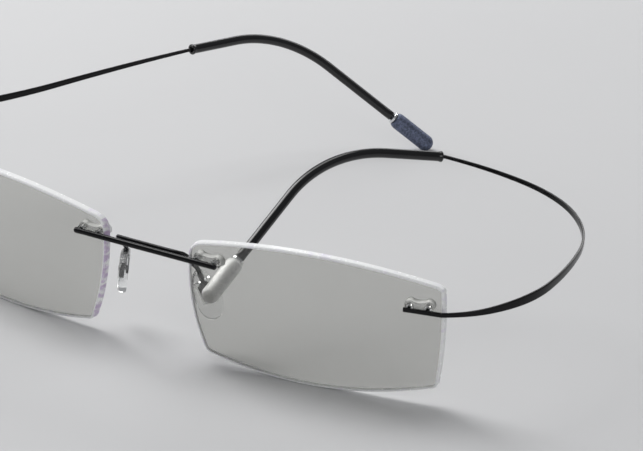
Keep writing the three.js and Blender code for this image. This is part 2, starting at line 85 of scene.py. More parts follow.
LENS_THICKNESS = 1.6
LENS_BASE_RADIUS = 133.5
LENS_BOW_CENTRE = (25.0, -8.5)
LENS_WRAP = math.radians(9.3)
LENS_LEAN = math.radians(5)
LENS_HALF_GAP = 9.55
LENS_SET_BACK = 0.7
LENS_CORNERS = {
    "nasal_top": (0.0, 2.2),
    "outer_top": (50.4, 1.8),
    "outer_bottom": (49.2, -18.7),
    "nasal_bottom": (3.3, -19.6),
}
LENS_BULGE = {"top": 3.1, "outer": 0.7, "bottom": 2.85, "nasal": 1.5}
LENS_CORNER_RADIUS = {"nasal_top": 2.2, "outer_top": 0.9, "outer_bottom": 0.5, "nasal_bottom": 0.5}
LENS_BEVEL = 0.2
LENS_OUTLINE_CENTRE = (25.0, -9.0)
LENS_EDGE_STEPS = 60
LENS_CORNER_STEPS = 7
LENS_RINGS = 14
LENS_FIRST_RING = 0.04  # scale of the innermost ring of a lens face
# The band of this width along the rim, on both faces, is painted near-white as a painted highlight.
EDGE_GLOW = 0.25  # width of the line along the rim, on both faces, that shows the bright edge
NASAL_FACING = -0.7  # the rim is violet where its normal faces outward by less than this

PIN_RADIUS = 0.3
PIN_BORE = 0.4
PIN_BARREL = 0.65
LENS_HOLE = PIN_BARREL + 0.1
CUT_PAST = 1.0  # how far a cutting tool reaches past what it cuts
ROD_STEPS = 24
PLUG_HEIGHT = 1.9
PLUG_PLATE = 1.0
PLUG_TAIL = 0.3
PLUG_DEPTH = PLUG_PLATE + PLUG_TAIL
PLUG_WAIST = 1.1
PLUG_GAP = 0.15
PLUG_SEAT = LENS_THICKNESS + PLUG_GAP
PLUG_ARC_STEPS = 28
PLUG_ARC_CUT = 0.15  # the round ends stop this many radians before the waist
BOSS_START = 0.1  # how deep in the lens a plug's boss starts
BOSS_OVERLAP = 0.2  # how far the boss runs into the plug
# How far the plug's outline is shrunk at each height, which rounds its edges.
PLUG_PROFILE = [
    (0, 0.1),
    (0.1, 0.02),
    (0.2, 0),
    (PLUG_DEPTH - 0.25, 0),
    (PLUG_DEPTH - 0.1, 0.07),
    (PLUG_DEPTH, 0.22),
]
PIN_END = LENS_THICKNESS + PLUG_DEPTH

BAR_RADIUS = 0.55
BAR_HALF_LENGTH = 15.9
BAR_UP = -1.05
BAR_PINS = (1.3, 5.2)
BOW_RADIUS = 0.42
BOW_GAP = 0.4
BOW_ABOVE_BAR = 0.15
BOW_CORNER = [(4.6, 0, 0), (6.6, 0.25, -0.1), (7.5, 1.2, -0.7)]  # from its middle: out, back, up
BOW_ABOVE_PAD = 0.6
BOW_STEPS = 260

PADDLE_WIDTH = 2.5
PADDLE_LENGTH = 4.3
PADDLE_THICKNESS = 0.5
PADDLE_HOLE = 0.45
PADDLE_HOLE_DROP = 0.5
PADDLE_SHIFT = 0.9
PADDLE_TOP_CUT = 0.3
PADDLE_BLEND = 1.2  # length over which the round wire flattens
PADDLE_END = 0.8  # length of the paddle's rounded end
PADDLE_SQUARENESS = 0.45
PAD_CENTRE = (9.7, 8.0, 11.4)
PAD_AXIS = (-0.254, -0.277, 0.926)
PAD_INWARD = (-0.86, 0.51, 0.0)
PAD_LENGTH = 10.8
PAD_WIDTH = 5.8
PAD_THICKNESS = 1.9
PAD_PLAY = 0.3
PAD_STEPS = 72
PAD_TAPER = 0.22
PAD_SQUARENESS = 0.1
# The scale of the pad's outline at each depth, from its back to its face. A depth is a share
# of half the pad's thickness.
PAD_LAYERS = [
    (0.5, -1), (0.7, -0.93), (0.86, -0.76), (0.95, -0.48), (0.99, -0.15), (1, 0.2),
    (0.99, 0.6), (0.965, 0.85), (0.93, 0.97), (0.88, 1), (0.6, 0.98), (0.3, 0.96),
]

STRIP_START = (43.2, -2.7)
STRIP_THICKNESS = 0.55
STRIP_SQUARENESS = 0.7
STRIP_GAP = 0.35
STRIP_OFFSET = STRIP_THICKNESS / 2 + STRIP_GAP
STRIP_ROOT_HEIGHT = 0.85
STRIP_FULL_HEIGHT = 1.7
STRIP_FULL_AT = 27.0
STRIP_TAIL_HEIGHT = 0.65
STRIP_PINS = (0.9, 4.4)
STRIP_FLAT = 7.2
STRIP_FLAT_RISE = 0.5
STRIP_BEND_LENGTH = 9.4
STRIP_BEND_ANGLE = 39.8
STRIP_ROOT_LENGTH = 32.0
STRIP_ROOT_SWEEP = 35.0
STRIP_SECTION_LENGTH = 15.8
STRIP_FLEXES = (24.3, 47.8, 71.5, 95.2)
STRIP_RISE = 9.18
STRIP_BLEND_FROM = 15.0  # the strip is rigid up to here, and bends from here on
FLAT_STEPS = 8
BEND_STEPS = 12
SECTION_STEPS = 16
WIRE_THICKNESS = 0.8  # of the strip's tail, inside the sleeve
WIRE_TAPER = 1.5
WIRE_REACH = 2.5
TILT = math.radians(5.4)
# How far each section of the strip turns, in degrees, and then the sleeve at its mouth.
TURNS = {
    "left": (13.7, 34.1, 45, 25, 21.6),
    "right": (32.4, -11.2, 2.3, 3.4, -8.5),
}

SLEEVE_RADIUS = 0.95
SLEEVE_BORE = 0.62
SLEEVE_FLARE_RADIUS = 1.08
SLEEVE_LIP = 0.3  # the flare keeps its radius over this length, and then fades out
SLEEVE_LIP_FADE = 0.5
SLEEVE_EDGE = 0.1
SLEEVE_MOUTH = 0.6
SLEEVE_RISE = 4.2
SLEEVE_STRAIGHT = 11.5
SLEEVE_BEND_LENGTH = 23.6
SLEEVE_BEND_ANGLE = math.radians(50)
SLEEVE_INWARD_TILT = math.radians(36)
SLEEVE_TAIL = 26.6
TIP_RADIUS = 1.7
TIP_LENGTH = 10.1
TIP_NECK = 1.45
RING_RADIUS = 1.3
RING_LENGTH = 0.6
RING_EDGE = 0.1
RING_GAP = 0.15

# ---- Vectors ----


def vec(*values):
    return np.array(values, float)


def unit(v):
    return v / np.linalg.norm(v)


def across(v, direction):
    """The part of v at right angles to a direction, as a unit vector."""
    d = unit(direction)
    return unit(v - (v @ d) * d)


ACROSS = vec(1, 0, 0)
UP = vec(0, -math.sin(LENS_LEAN), math.cos(LENS_LEAN))
BACK = vec(0, math.cos(LENS_LEAN), math.sin(LENS_LEAN))
FLEX_UP = vec(0, math.sin(TILT), math.cos(TILT))
FLEX_BACK = vec(0, math.cos(TILT), -math.sin(TILT))

# ---- Lens surface ----


def lens_axes(side):
    outward = side * math.cos(LENS_WRAP) * ACROSS + math.sin(LENS_WRAP) * BACK
    normal = -side * math.sin(LENS_WRAP) * ACROSS + math.cos(LENS_WRAP) * BACK
    return outward, normal


def lens_bow(out, up):
    centre_out, centre_up = LENS_BOW_CENTRE
    square = (out - centre_out) ** 2 + (up - centre_up) ** 2
    return (square - centre_out**2 - centre_up**2) / (2 * LENS_BASE_RADIUS)


def front_point(x, up, back):
    return x * ACROSS + up * UP + back * BACK


def lens_point(side, out, up, depth):
    """A point of a lens, at a depth behind its front surface."""
    outward, normal = lens_axes(side)
    origin = front_point(side * LENS_HALF_GAP, up, LENS_SET_BACK)
    return origin + out * outward + (lens_bow(out, up) + depth) * normal


def lens_local(side, out, up):
    """Unit directions along and through the lens surface at a place on it."""
    along = unit(lens_point(side, out + 0.5, up, 0) - lens_point(side, out - 0.5, up, 0))
    through = lens_point(side, out, up, 1) - lens_point(side, out, up, 0)
    return along, across(across(through, along), UP)


def bowed_edge(start, end, bulge, steps):
    t = np.linspace(0, 1, steps + 1)[:, None]
    run = vec(*end) - vec(*start)
    sideways = unit(vec(-run[1], run[0]))
    return vec(*start) + run * t + sideways * bulge * 4 * t * (1 - t)


def lens_outline():
    """The lens outline as [outward, up] points: four bowed edges joined by rounded corners."""
    names = ["nasal_top", "outer_top", "outer_bottom", "nasal_bottom"]
    bulges = [LENS_BULGE[k] for k in ("top", "outer", "bottom", "nasal")]
    edges = []
    for i, name in enumerate(names):
        start = LENS_CORNERS[name]
        end = LENS_CORNERS[names[(i + 1) % 4]]
        edges.append(bowed_edge(start, end, bulges[i], LENS_EDGE_STEPS))
    outline = []
    for i, edge in enumerate(edges):
        start_cut = LENS_CORNER_RADIUS[names[i]]
        end_cut = LENS_CORNER_RADIUS[names[(i + 1) % 4]]
        from_start = np.linalg.norm(edge - edge[0], axis=1)
        from_end = np.linalg.norm(edge - edge[-1], axis=1)
        kept = edge[(from_start >= start_cut) & (from_end >= end_cut)]
        outline.extend(kept)
        onward = edges[(i + 1) % 4]
        far_enough = np.linalg.norm(onward - onward[0], axis=1) >= end_cut
        after = onward[far_enough][0]
        for t in np.linspace(0, 1, LENS_CORNER_STEPS + 1)[1:-1]:
            outline.append((1 - t) ** 2 * kept[-1] + 2 * t * (1 - t) * edge[-1] + t**2 * after)
    return np.array(outline)


def inset(outline, distance):
    """The outline moved inwards by a distance."""
    run = np.roll(outline, -1, axis=0) - np.roll(outline, 1, axis=0)
    normals = np.stack([run[:, 1], -run[:, 0]], axis=1)
    normals /= np.linalg.norm(normals, axis=1)[:, None]
    return outline + distance * normals


# ---- Temple path ----


def heading(side, turn, rise):
    """The direction after turning back and inward from straight outward, with a rise, in degrees."""
    level = side * math.cos(math.radians(turn)) * ACROSS + math.sin(math.radians(turn)) * FLEX_BACK
    return level * math.cos(math.radians(rise)) + FLEX_UP * math.sin(math.radians(rise))


def strip_start(side):
    """Where the strip begins, in front of the lens, and its turn there in degrees."""
    along, through = lens_local(side, *STRIP_START)
    point = lens_point(side, *STRIP_START, 0) - STRIP_OFFSET * through
    return point, math.degrees(math.asin(along @ FLEX_BACK))


def strip_height(distance):
    """The height of the strip: low by the lens, full past the bend, and low again at the ear."""
    end = STRIP_ROOT_LENGTH + len(STRIP_FLEXES) * STRIP_SECTION_LENGTH
    if distance > STRIP_FULL_AT:
        share = (distance - STRIP_FULL_AT) / (end - STRIP_FULL_AT)
        return STRIP_FULL_HEIGHT + (STRIP_TAIL_HEIGHT - STRIP_FULL_HEIGHT) * share
    t = min(max((distance - STRIP_FLAT) / (STRIP_FULL_AT - STRIP_FLAT), 0), 1)
    return STRIP_ROOT_HEIGHT + (STRIP_FULL_HEIGHT - STRIP_ROOT_HEIGHT) * t * t * (3 - 2 * t)


def temple_path(side, turns):
    """Points along the strip as (point, heading, distance), and its turn at the sleeve."""
    point, turn = strip_start(side)
    path = [(point, heading(side, turn, 0), 0.0)]

    def walk(length, total_turn, rise, steps):
        nonlocal turn
        for _ in range(steps):
            last_point, _, distance = path[-1]
            direction = heading(side, turn + total_turn / steps / 2, rise)
            turn += total_turn / steps
            step = length / steps
            path.append((last_point + step * direction, heading(side, turn, rise), distance + step))

    walk(STRIP_FLAT, 0, STRIP_FLAT_RISE, FLAT_STEPS)
    walk(STRIP_BEND_LENGTH, STRIP_BEND_ANGLE, STRIP_RISE, BEND_STEPS)
    root_rest = STRIP_ROOT_LENGTH - STRIP_FLAT - STRIP_BEND_LENGTH
    walk(root_rest, STRIP_ROOT_SWEEP, STRIP_RISE, SECTION_STEPS)
    *section_turns, sleeve_turn = turns
    for section_turn in section_turns:
        walk(STRIP_SECTION_LENGTH, section_turn, STRIP_RISE, SECTION_STEPS)
    return path, turn + sleeve_turn


def nearest_step(path, distance):
    """The index of the point of a temple path that is nearest to a distance along it."""
    return min(range(len(path)), key=lambda i: abs(path[i][2] - distance))


def row_shift():
    """The shift from these axes to the row frame, read from where a CAD joint is."""
    path, _ = temple_path(SIDES["left"], TURNS["left"])
    joint = next(j for j in frame["joints"] if j["name"] == "temple_left_flex_4")
    return vec(*joint["pos_m"]) - path[-1][0] / 1000


SHIFT = row_shift()


def placed(points):
    return np.atleast_2d(points) / 1000 + SHIFT


# ---- Meshes ----


def new_piece(name, points, faces, material, sharp=SHARP_ANGLE):
    """A mesh object from millimetre points, smooth except where it turns sharply."""
    mesh = bpy.data.meshes.new(name)
    mesh.from_pydata([tuple(p) for p in placed(points)], [], faces)
    bm = bmesh.new()
    bm.from_mesh(mesh)
    bmesh.ops.recalc_face_normals(bm, faces=bm.faces)
    bm.to_mesh(mesh)
    bm.free()
    mesh.shade_smooth()
    mesh.set_sharp_from_angle(angle=math.radians(sharp))
    mesh.materials.append(material)
    piece = bpy.data.objects.new(name, mesh)
    bpy.context.scene.collection.objects.link(piece)
    return piece


def skin(rings, closed=False):
    """Points and faces that join a list of rings. An open skin is capped at both ends."""
    count = len(rings[0])
    points = np.concatenate(rings)
    faces = []
    bands = len(rings) if closed else len(rings) - 1
    for band in range(bands):
        here = band * count
        there = (band + 1) % len(rings) * count
        for i in range(count):
            j = (i + 1) % count
            faces.append((here + i, here + j, there + j, there + i))
    if not closed:
        faces.append(tuple(range(count)))
        last = (len(rings) - 1) * count
        faces.append(tuple(last + i for i in reversed(range(count))))
    return points, faces


def circle(centre, along, first, radius, count):
    a = across(first, along)
    b = np.cross(unit(along), a)
    angles = np.linspace(0, 2 * math.pi, count, endpoint=False)[:, None]
    return centre + radius * (np.cos(angles) * a + np.sin(angles) * b)


def turned(origin, along, first, profile, count=40, closed=False):
    """Rings of a solid turned about a line, from [distance along, radius] pairs."""
    direction = unit(along)
    rings = [circle(origin + d * direction, direction, first, r, count) for d, r in profile]
    return skin(rings, closed)


def rounded_ring(centre, a, b, squareness, count):
    """A ring with the half-axes a and b: an ellipse, or squarer with more squareness."""
    angles = np.linspace(0, 2 * math.pi, count, endpoint=False)[:, None]
    power = 1 - squareness
    cos = np.cos(angles)
    sin = np.sin(angles)
    return centre + np.sign(cos) * np.abs(cos) ** power * a + np.sign(sin) * np.abs(sin) ** power * b


def tangents(points):
    points = np.array(points)
    ahead = np.vstack([points[1:], points[-1:]])
    behind = np.vstack([points[:1], points[:-1]])
    run = ahead - behind
    return run / np.linalg.norm(run, axis=1)[:, None]


def carried(points, first):
    """A direction at right angles to the path, carried along it without twisting."""
    directions = []
    current = first
    for tangent in tangents(points):
        current = across(current, tangent)
        directions.append(current)
    return directions


def walked(points):
    """How far along the path each of its points is."""
    steps = np.linalg.norm(np.diff(points, axis=0), axis=1)
    return np.concatenate([[0], np.cumsum(steps)])


def resampled(points, stations):
    """The points of a path at some distances along it."""
    lengths = walked(points)
    return np.stack([np.interp(stations, lengths, points[:, k]) for k in range(3)], axis=1)


def smooth_curve(points, count):
    """A Catmull-Rom curve through points, resampled evenly."""
    p = np.array(points)
    p = np.vstack([2 * p[0] - p[1], p, 2 * p[-1] - p[-2]])
    samples = []
    for i in range(1, len(p) - 2):
        for t in np.linspace(0, 1, 24, endpoint=False):
            a = 2 * p[i]
            b = p[i + 1] - p[i - 1]
            c = 2 * p[i - 1] - 5 * p[i] + 4 * p[i + 1] - p[i + 2]
            d = 3 * p[i] - p[i - 1] - 3 * p[i + 1] + p[i + 2]
            samples.append(0.5 * (a + b * t + c * t**2 + d * t**3))
    samples.append(p[-2])
    samples = np.array(samples)
    return resampled(samples, np.linspace(0, walked(samples)[-1], count))


def with_booleans(piece, tools, operation):
    """Joins or cuts the tools into the piece for good."""
    for tool in tools:
        modifier = piece.modifiers.new("boolean", "BOOLEAN")
        modifier.object = tool
        modifier.operation = operation
        modifier.solver = "EXACT"
    bpy.context.view_layer.update()
    evaluated = piece.evaluated_get(bpy.context.evaluated_depsgraph_get())
    mesh = bpy.data.meshes.new_from_object(evaluated)
    piece.modifiers.clear()
    piece.data = mesh
    mesh.shade_smooth()
    mesh.set_sharp_from_angle(angle=math.radians(SHARP_ANGLE))
    for tool in tools:
        bpy.data.objects.remove(tool)


def two_tone(piece, face_material, rim_material, direction, limit):
    """Gives the faces that look along a direction one material, and the rim around them another."""
    piece.data.materials.clear()
    piece.data.materials.append(face_material)
    piece.data.materials.append(rim_material)
    axis = Vector(direction)
    for polygon in piece.data.polygons:
        polygon.material_index = 0 if abs(polygon.normal.dot(axis)) > limit else 1


def rod(start, end, radius, material=None):
    """A round rod between two points, to join to a piece or to cut with."""
    length = np.linalg.norm(end - start)
    points, faces = turned(start, end - start, UP, [(0, radius), (length, radius)], ROD_STEPS)
    return new_piece("rod", points, faces, material)


# ---- Materials ----


class Shader:
    """A material with one Principled shader and the procedural nodes that feed it."""

    def __init__(self, name, **values):
        self.material = bpy.data.materials.new(name)
        self.material.use_nodes = True
        self.tree = self.material.node_tree
        self.principled = self.tree.nodes["Principled BSDF"]
        self.place = self.tree.nodes.new("ShaderNodeTexCoord").outputs["Object"]
        for socket, value in values.items():
            self.principled.inputs[socket.replace("_", " ")].default_value = value

    def link(self, source, target):
        self.tree.links.new(source, target)

    def noise(self, scale, detail=3, roughness=0.5, stretch=None):
        node = self.tree.nodes.new("ShaderNodeTexNoise")
        node.inputs["Scale"].default_value = scale
        node.inputs["Detail"].default_value = detail
        node.inputs["Roughness"].default_value = roughness
        place = self.place
        if stretch:
            mapping = self.tree.nodes.new("ShaderNodeMapping")
            mapping.inputs["Scale"].default_value = stretch
            self.link(place, mapping.inputs["Vector"])
            place = mapping.outputs["Vector"]
        self.link(place, node.inputs["Vector"])
        return node.outputs["Fac"]

    def ranged(self, source, low, high, from_low=0.3, from_high=0.7):
        node = self.tree.nodes.new("ShaderNodeMapRange")
        node.inputs["From Min"].default_value = from_low
        node.inputs["From Max"].default_value = from_high
        node.inputs["To Min"].default_value = low
        node.inputs["To Max"].default_value = high
        self.link(source, node.inputs["Value"])
        return node.outputs["Result"]

    def colours(self, source, first, second, from_low=0.3, from_high=0.7):
        node = self.tree.nodes.new("ShaderNodeValToRGB")
        node.color_ramp.elements[0].position = from_low
        node.color_ramp.elements[0].color = (*first, 1)
        node.color_ramp.elements[1].position = from_high
        node.color_ramp.elements[1].color = (*second, 1)
        self.link(source, node.inputs["Fac"])
        return node.outputs["Color"]

    def roughness(self, source):
        self.link(source, self.principled.inputs["Roughness"])

    def colour(self, source):
        self.link(source, self.principled.inputs["Base Color"])

    def bump(self, source, height_mm, strength=1.0):
        node = self.tree.nodes.new("ShaderNodeBump")
        node.inputs["Distance"].default_value = height_mm / 1000
        node.inputs["Strength"].default_value = strength
        self.link(source, node.inputs["Height"])
        self.link(node.outputs["Normal"], self.principled.inputs["Normal"])


def lens_material():
    """Clear demonstration lens with a faint warm grey tint and the odd smear."""
    shader = Shader("lens_glass", IOR=1.5, Transmission_Weight=1.0)
    shader.colour(shader.colours(shader.noise(30, 2), (0.61, 0.61, 0.585), (0.635, 0.635, 0.61)))
    shader.roughness(shader.ranged(shader.noise(90, 4), 0.0, 0.03, 0.55, 0.75))
    return shader.material


def painted_lens_edge_highlight_material(name, tinge_colour, tinge_from):
    """The cut and polished rim of the lens, painted near-white as a painted highlight, with fine
    polishing marks and a violet tinge.
    """
    shader = Shader(name, IOR=1.5, Transmission_Weight=0.1)
    tinge = shader.noise(420, 3, stretch=(1, 1, 2))
    tinge_to = tinge_from + 0.2
    # Painted highlight: near-white, mottled with the violet tinge.
    shader.colour(shader.colours(tinge, (0.98, 0.985, 0.985), tinge_colour, tinge_from, tinge_to))
    shader.roughness(shader.ranged(shader.noise(1400, 2), 0.12, 0.3))
    shader.bump(shader.noise(900, 2), 0.01, 0.3)
    return shader.material


def black_titanium_material():
    """Gloss black coating over titanium, with faint drawing lines and rubbed patches."""
    shader = Shader("black_titanium", Specular_IOR_Level=0.22)
    shader.colour(shader.colours(shader.noise(120, 4), (0.002, 0.002, 0.0025), (0.006, 0.006, 0.007)))
    shader.roughness(shader.ranged(shader.noise(400, 4), 0.1, 0.2))
    shader.bump(shader.noise(700, 2, stretch=(1, 1, 6)), 0.004, 0.3)
    return shader.material


def sleeve_material():
    """Glossy black plastic sleeve, very slightly uneven."""
    shader = Shader("sleeve_plastic", Specular_IOR_Level=0.6)
    shader.colour(shader.colours(shader.noise(80, 3), (0.001, 0.001, 0.0013), (0.004, 0.004, 0.005)))
    shader.roughness(shader.ranged(shader.noise(250, 4), 0.14, 0.22))
    shader.bump(shader.noise(160, 2), 0.02, 0.25)
    return shader.material


def frosted_metal_material(name, dark, light, metallic):
    """Fine-blasted metal of the temple tips."""
    shader = Shader(name, Metallic=metallic)
    grain = shader.noise(2600, 2, 0.6)
    shader.colour(shader.colours(grain, dark, light, 0.4, 0.6))
    shader.roughness(shader.ranged(shader.noise(1500, 3), 0.45, 0.6))
    shader.bump(grain, 0.05, 0.6)
    return shader.material


def bright_metal_material():
    """Polished collar between the sleeve and the tip."""
    shader = Shader("bright_metal", Metallic=1.0)
    shader.colour(shader.colours(shader.noise(300, 3), (0.72, 0.73, 0.75), (0.85, 0.86, 0.87)))
    shader.roughness(shader.ranged(shader.noise(900, 3), 0.06, 0.16))
    return shader.material


def clear_plastic_material():
    """Water-clear plastic of the lens plugs."""
    shader = Shader("clear_plastic", IOR=1.49, Transmission_Weight=0.85)
    shader.colour(shader.colours(shader.noise(500, 2), (0.96, 0.97, 0.97), (1.0, 1.0, 1.0)))
    shader.roughness(shader.ranged(shader.noise(900, 3), 0.02, 0.1))
    return shader.material


def painted_highlight_rim_material():
    """The sides of a clear plastic piece, painted near-white and nearly opaque as a painted highlight
    for the light that it carries.
    """
    shader = Shader("clear_plastic_painted_highlight_rim", IOR=1.45, Transmission_Weight=0.05)
    # Painted highlight: near-white.
    shader.colour(shader.colours(shader.noise(800, 2), (0.96, 0.965, 0.965), (0.99, 0.99, 0.99)))
    shader.roughness(shader.ranged(shader.noise(900, 3), 0.1, 0.25))
    return shader.material


def silicone_material():
    """Soft clear silicone of the nose pads, with a slight haze."""
    shader = Shader("silicone", IOR=1.41, Transmission_Weight=0.94)
    shader.colour(shader.colours(shader.noise(300, 3), (0.96, 0.97, 0.97), (1.0, 1.0, 1.0)))
    shader.roughness(shader.ranged(shader.noise(700, 3), 0.06, 0.16))
    shader.bump(shader.noise(450, 2), 0.02, 0.25)
    return shader.material


def floor_material():
    """Plain pale matt surface."""
    shader = Shader("pale_floor", Specular_IOR_Level=0.15)
    shader.colour(shader.colours(shader.noise(4, 3), (0.56, 0.56, 0.565), (0.59, 0.59, 0.595)))
    shader.roughness(shader.ranged(shader.noise(60, 3), 0.8, 0.9))
    return shader.material


LENS = lens_material()
# The lens rim is painted near-white, a painted highlight; the nasal rim's copy has a stronger violet
# tinge.
LENS_EDGE_PAINTED_HIGHLIGHT = painted_lens_edge_highlight_material("lens_edge_painted_highlight", (0.88, 0.84, 0.95), 0.55)
NASAL_EDGE_PAINTED_HIGHLIGHT = painted_lens_edge_highlight_material("lens_edge_violet_painted_highlight", (0.62, 0.5, 0.7), 0.38)
TITANIUM = black_titanium_material()
SLEEVE = sleeve_material()
# The tip of the right temple is a darker, bluish copy of the same frosted metal: painted shade and dark
# reflection.
TIP_METAL_AND_PAINTED_SHADE = {
    "left": frosted_metal_material("frosted_silver", (0.84, 0.845, 0.85), (1.0, 1.0, 1.0), 0.4),
    # Painted shade: the right tip's copy is dark and bluish.
    "right": frosted_metal_material("frosted_silver_painted_shade", (0.1, 0.115, 0.16), (0.17, 0.195, 0.29), 0.85),
}
BRIGHT = bright_metal_material()
CLEAR = clear_plastic_material()
SILICONE = silicone_material()
# Painted highlight for the sides of the clear plugs.
PAINTED_HIGHLIGHT_RIM = painted_highlight_rim_material()

# ---- The front ----


def finish_piece(piece, body, nodes):
    """Gives a piece to a body, in place of CAD nodes."""
    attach(piece, body)
    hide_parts(*nodes)


def pin_places(side):
    """Where pins go through a lens, as [outward, up]: by the bridge and by the temple."""
    along, _ = lens_local(side, *STRIP_START)
    outward, _ = lens_axes(side)
    bridge = [(out, BAR_UP) for out in BAR_PINS]
    temple = [(STRIP_START[0] + d * (along @ outward), STRIP_START[1]) for d in STRIP_PINS]
    return bridge, temple


def pin_rod(side, place, front, back, radius):
    """A rod through the lens at a place, between two depths."""
    _, through = lens_local(side, *place)
    surface = lens_point(side, *place, 0)
    return rod(surface + front * through, surface + back * through, radius, TITANIUM)


def build_lens(name, side):
    """A bowed lens with a bevelled rim, a painted highlight line along it and holes for the plugs."""
    outline = lens_outline()
    shrunk = inset(outline, LENS_BEVEL)
    clear = inset(outline, LENS_BEVEL + EDGE_GLOW)
    centre = vec(*LENS_OUTLINE_CENTRE)
    scales = np.linspace(LENS_FIRST_RING, 1, LENS_RINGS)

    def ring(points, depth):
        return np.array([lens_point(side, out, up, depth) for out, up in points])

    front = [ring(centre + (clear - centre) * s, 0) for s in scales]
    edge = [
        ring(shrunk, 0),
        ring(outline, LENS_BEVEL),
        ring(outline, LENS_THICKNESS / 2),
        ring(outline, LENS_THICKNESS - LENS_BEVEL),
        ring(shrunk, LENS_THICKNESS),
    ]
    back = [ring(centre + (clear - centre) * s, LENS_THICKNESS) for s in scales[::-1]]
    points, faces = skin([*front, *edge, *back])
    piece = new_piece(f"lens_{name}_glass", points, faces, LENS, sharp=20)
    piece.data.materials.append(LENS_EDGE_PAINTED_HIGHLIGHT)
    piece.data.materials.append(NASAL_EDGE_PAINTED_HIGHLIGHT)
    outward, _ = lens_axes(side)
    # The bands of faces between the two clear faces, from one painted highlight line to the other.
    count = len(outline)
    first = (LENS_RINGS - 1) * count
    for polygon in piece.data.polygons[first : first + (len(edge) + 1) * count]:
        nasal = polygon.normal.dot(Vector(outward)) < NASAL_FACING
        polygon.material_index = 2 if nasal else 1
    bridge, temple = pin_places(side)
    hole_end = LENS_THICKNESS + CUT_PAST
    holes = [pin_rod(side, place, -CUT_PAST, hole_end, LENS_HOLE) for place in bridge + temple]
    with_booleans(piece, holes, "DIFFERENCE")
    finish_piece(piece, "front", [f"lens_{name}"])


def dog_bone(half, end_radius, waist):
    """A double-ended outline about [x, y] = 0: two round ends joined by a narrower waist."""
    points = []
    spread = math.acos(waist / 2 / end_radius)
    for sign in (1, -1):
        start = -math.pi / 2 - spread + PLUG_ARC_CUT
        for angle in np.linspace(start, -start, PLUG_ARC_STEPS):
            x = half + end_radius * math.cos(angle)
            points.append((sign * x, sign * end_radius * math.sin(angle)))
        points.append((0, sign * waist / 2))
    return np.array(points)


def build_plug(name, label, side, places):
    """A clear plug: two barrels joined by a web, with a boss into each lens hole."""
    (out_a, up), (out_b, _) = places
    middle = ((out_a + out_b) / 2, up)
    along, through = lens_local(side, *middle)
    centre = lens_point(side, *middle, 0)
    half = np.linalg.norm(lens_point(side, out_b, up, 0) - lens_point(side, out_a, up, 0)) / 2
    outline = dog_bone(half, PLUG_HEIGHT / 2, PLUG_WAIST)
    rings = []
    for height, shrink in PLUG_PROFILE:
        scaled = inset(outline, shrink)
        base = centre + (PLUG_SEAT + height) * through
        rings.append(np.array([base + x * along + y * UP for x, y in scaled]))
    points, faces = skin(rings)
    piece = new_piece(f"{label}_plug_{name}_clear", points, faces, CLEAR, sharp=50)
    boss_end = PLUG_SEAT + BOSS_OVERLAP
    bosses = [pin_rod(side, place, BOSS_START, boss_end, PIN_BARREL) for place in places]
    with_booleans(piece, bosses, "UNION")
    bore_end = PLUG_SEAT + PLUG_DEPTH + CUT_PAST
    bores = [pin_rod(side, place, -CUT_PAST, bore_end, PIN_BORE) for place in places]
    with_booleans(piece, bores, "DIFFERENCE")
    # The plug's sides get the painted highlight; its faces stay clear plastic.
    two_tone(piece, CLEAR, PAINTED_HIGHLIGHT_RIM, through, 0.93)
    finish_piece(piece, "front", [f"{label}_plug_{name}"])


def build_bridge_bar():
    """The straight bar on the front of the lenses, with round ends and four pins."""
    length = 2 * BAR_HALF_LENGTH
    angles = np.linspace(0.1, math.pi / 2, 8)
    end = [(BAR_RADIUS * (1 - math.cos(a)), BAR_RADIUS * math.sin(a)) for a in angles]
    middle = [(length * t, BAR_RADIUS) for t in (0.25, 0.5, 0.75)]
    profile = [*end, *middle, *[(length - d, r) for d, r in reversed(end)]]
    points, faces = turned(front_point(-BAR_HALF_LENGTH, BAR_UP, 0), ACROSS, UP, profile, 32)
    piece = new_piece("bridge_bar_wire", points, faces, TITANIUM, sharp=50)
    pins = []
    for side in SIDES.values():
        for place in pin_places(side)[0]:
            _, through = lens_local(side, *place)
            reach = lens_point(side, *place, 0) @ BACK / (through @ BACK)
            pins.append(pin_rod(side, place, -reach, PIN_END, PIN_RADIUS))
    with_booleans(piece, pins, "UNION")
    finish_piece(piece, "front", ["bridge_bar"])


def lowest_lens_point():
    outline = lens_outline()
    heights = [lens_point(1, out, up, d)[2] for out, up in outline for d in (0, LENS_THICKNESS)]
    return min(heights)


# The pads are placed from the table up, everything else from the bridge.
FRONT_LIFT = vec(0, 0, lowest_lens_point())


def pad_axes(side):
    flip = vec(side, 1, 1)
    axis = unit(vec(*PAD_AXIS) * flip)
    inward = across(vec(*PAD_INWARD) * flip, axis)
    return vec(*PAD_CENTRE) * flip + FRONT_LIFT, axis, inward


def bow_path():
    """The centre line of the wire, from paddle to paddle, behind the bridge bar."""
    behind = BAR_RADIUS + BOW_GAP + BOW_RADIUS
    middle = front_point(0, BAR_UP + BOW_ABOVE_BAR, behind)
    halves = {}
    for side in SIDES.values():
        centre, axis, _ = pad_axes(side)
        top = centre + axis * (PAD_LENGTH / 2 + BOW_ABOVE_PAD)
        paddle_top = centre + axis * (PADDLE_SHIFT + PADDLE_LENGTH / 2 - PADDLE_TOP_CUT)
        paddle_end = centre + axis * (PADDLE_SHIFT - PADDLE_LENGTH / 2)
        halves[side] = [
            *[middle + vec(side * out, back, up) for out, back, up in BOW_CORNER],
            top,
            (top + paddle_top) / 2,
            paddle_top,
            paddle_end,
        ]
    return smooth_curve([*halves[-1][::-1], middle, *halves[1]], BOW_STEPS)


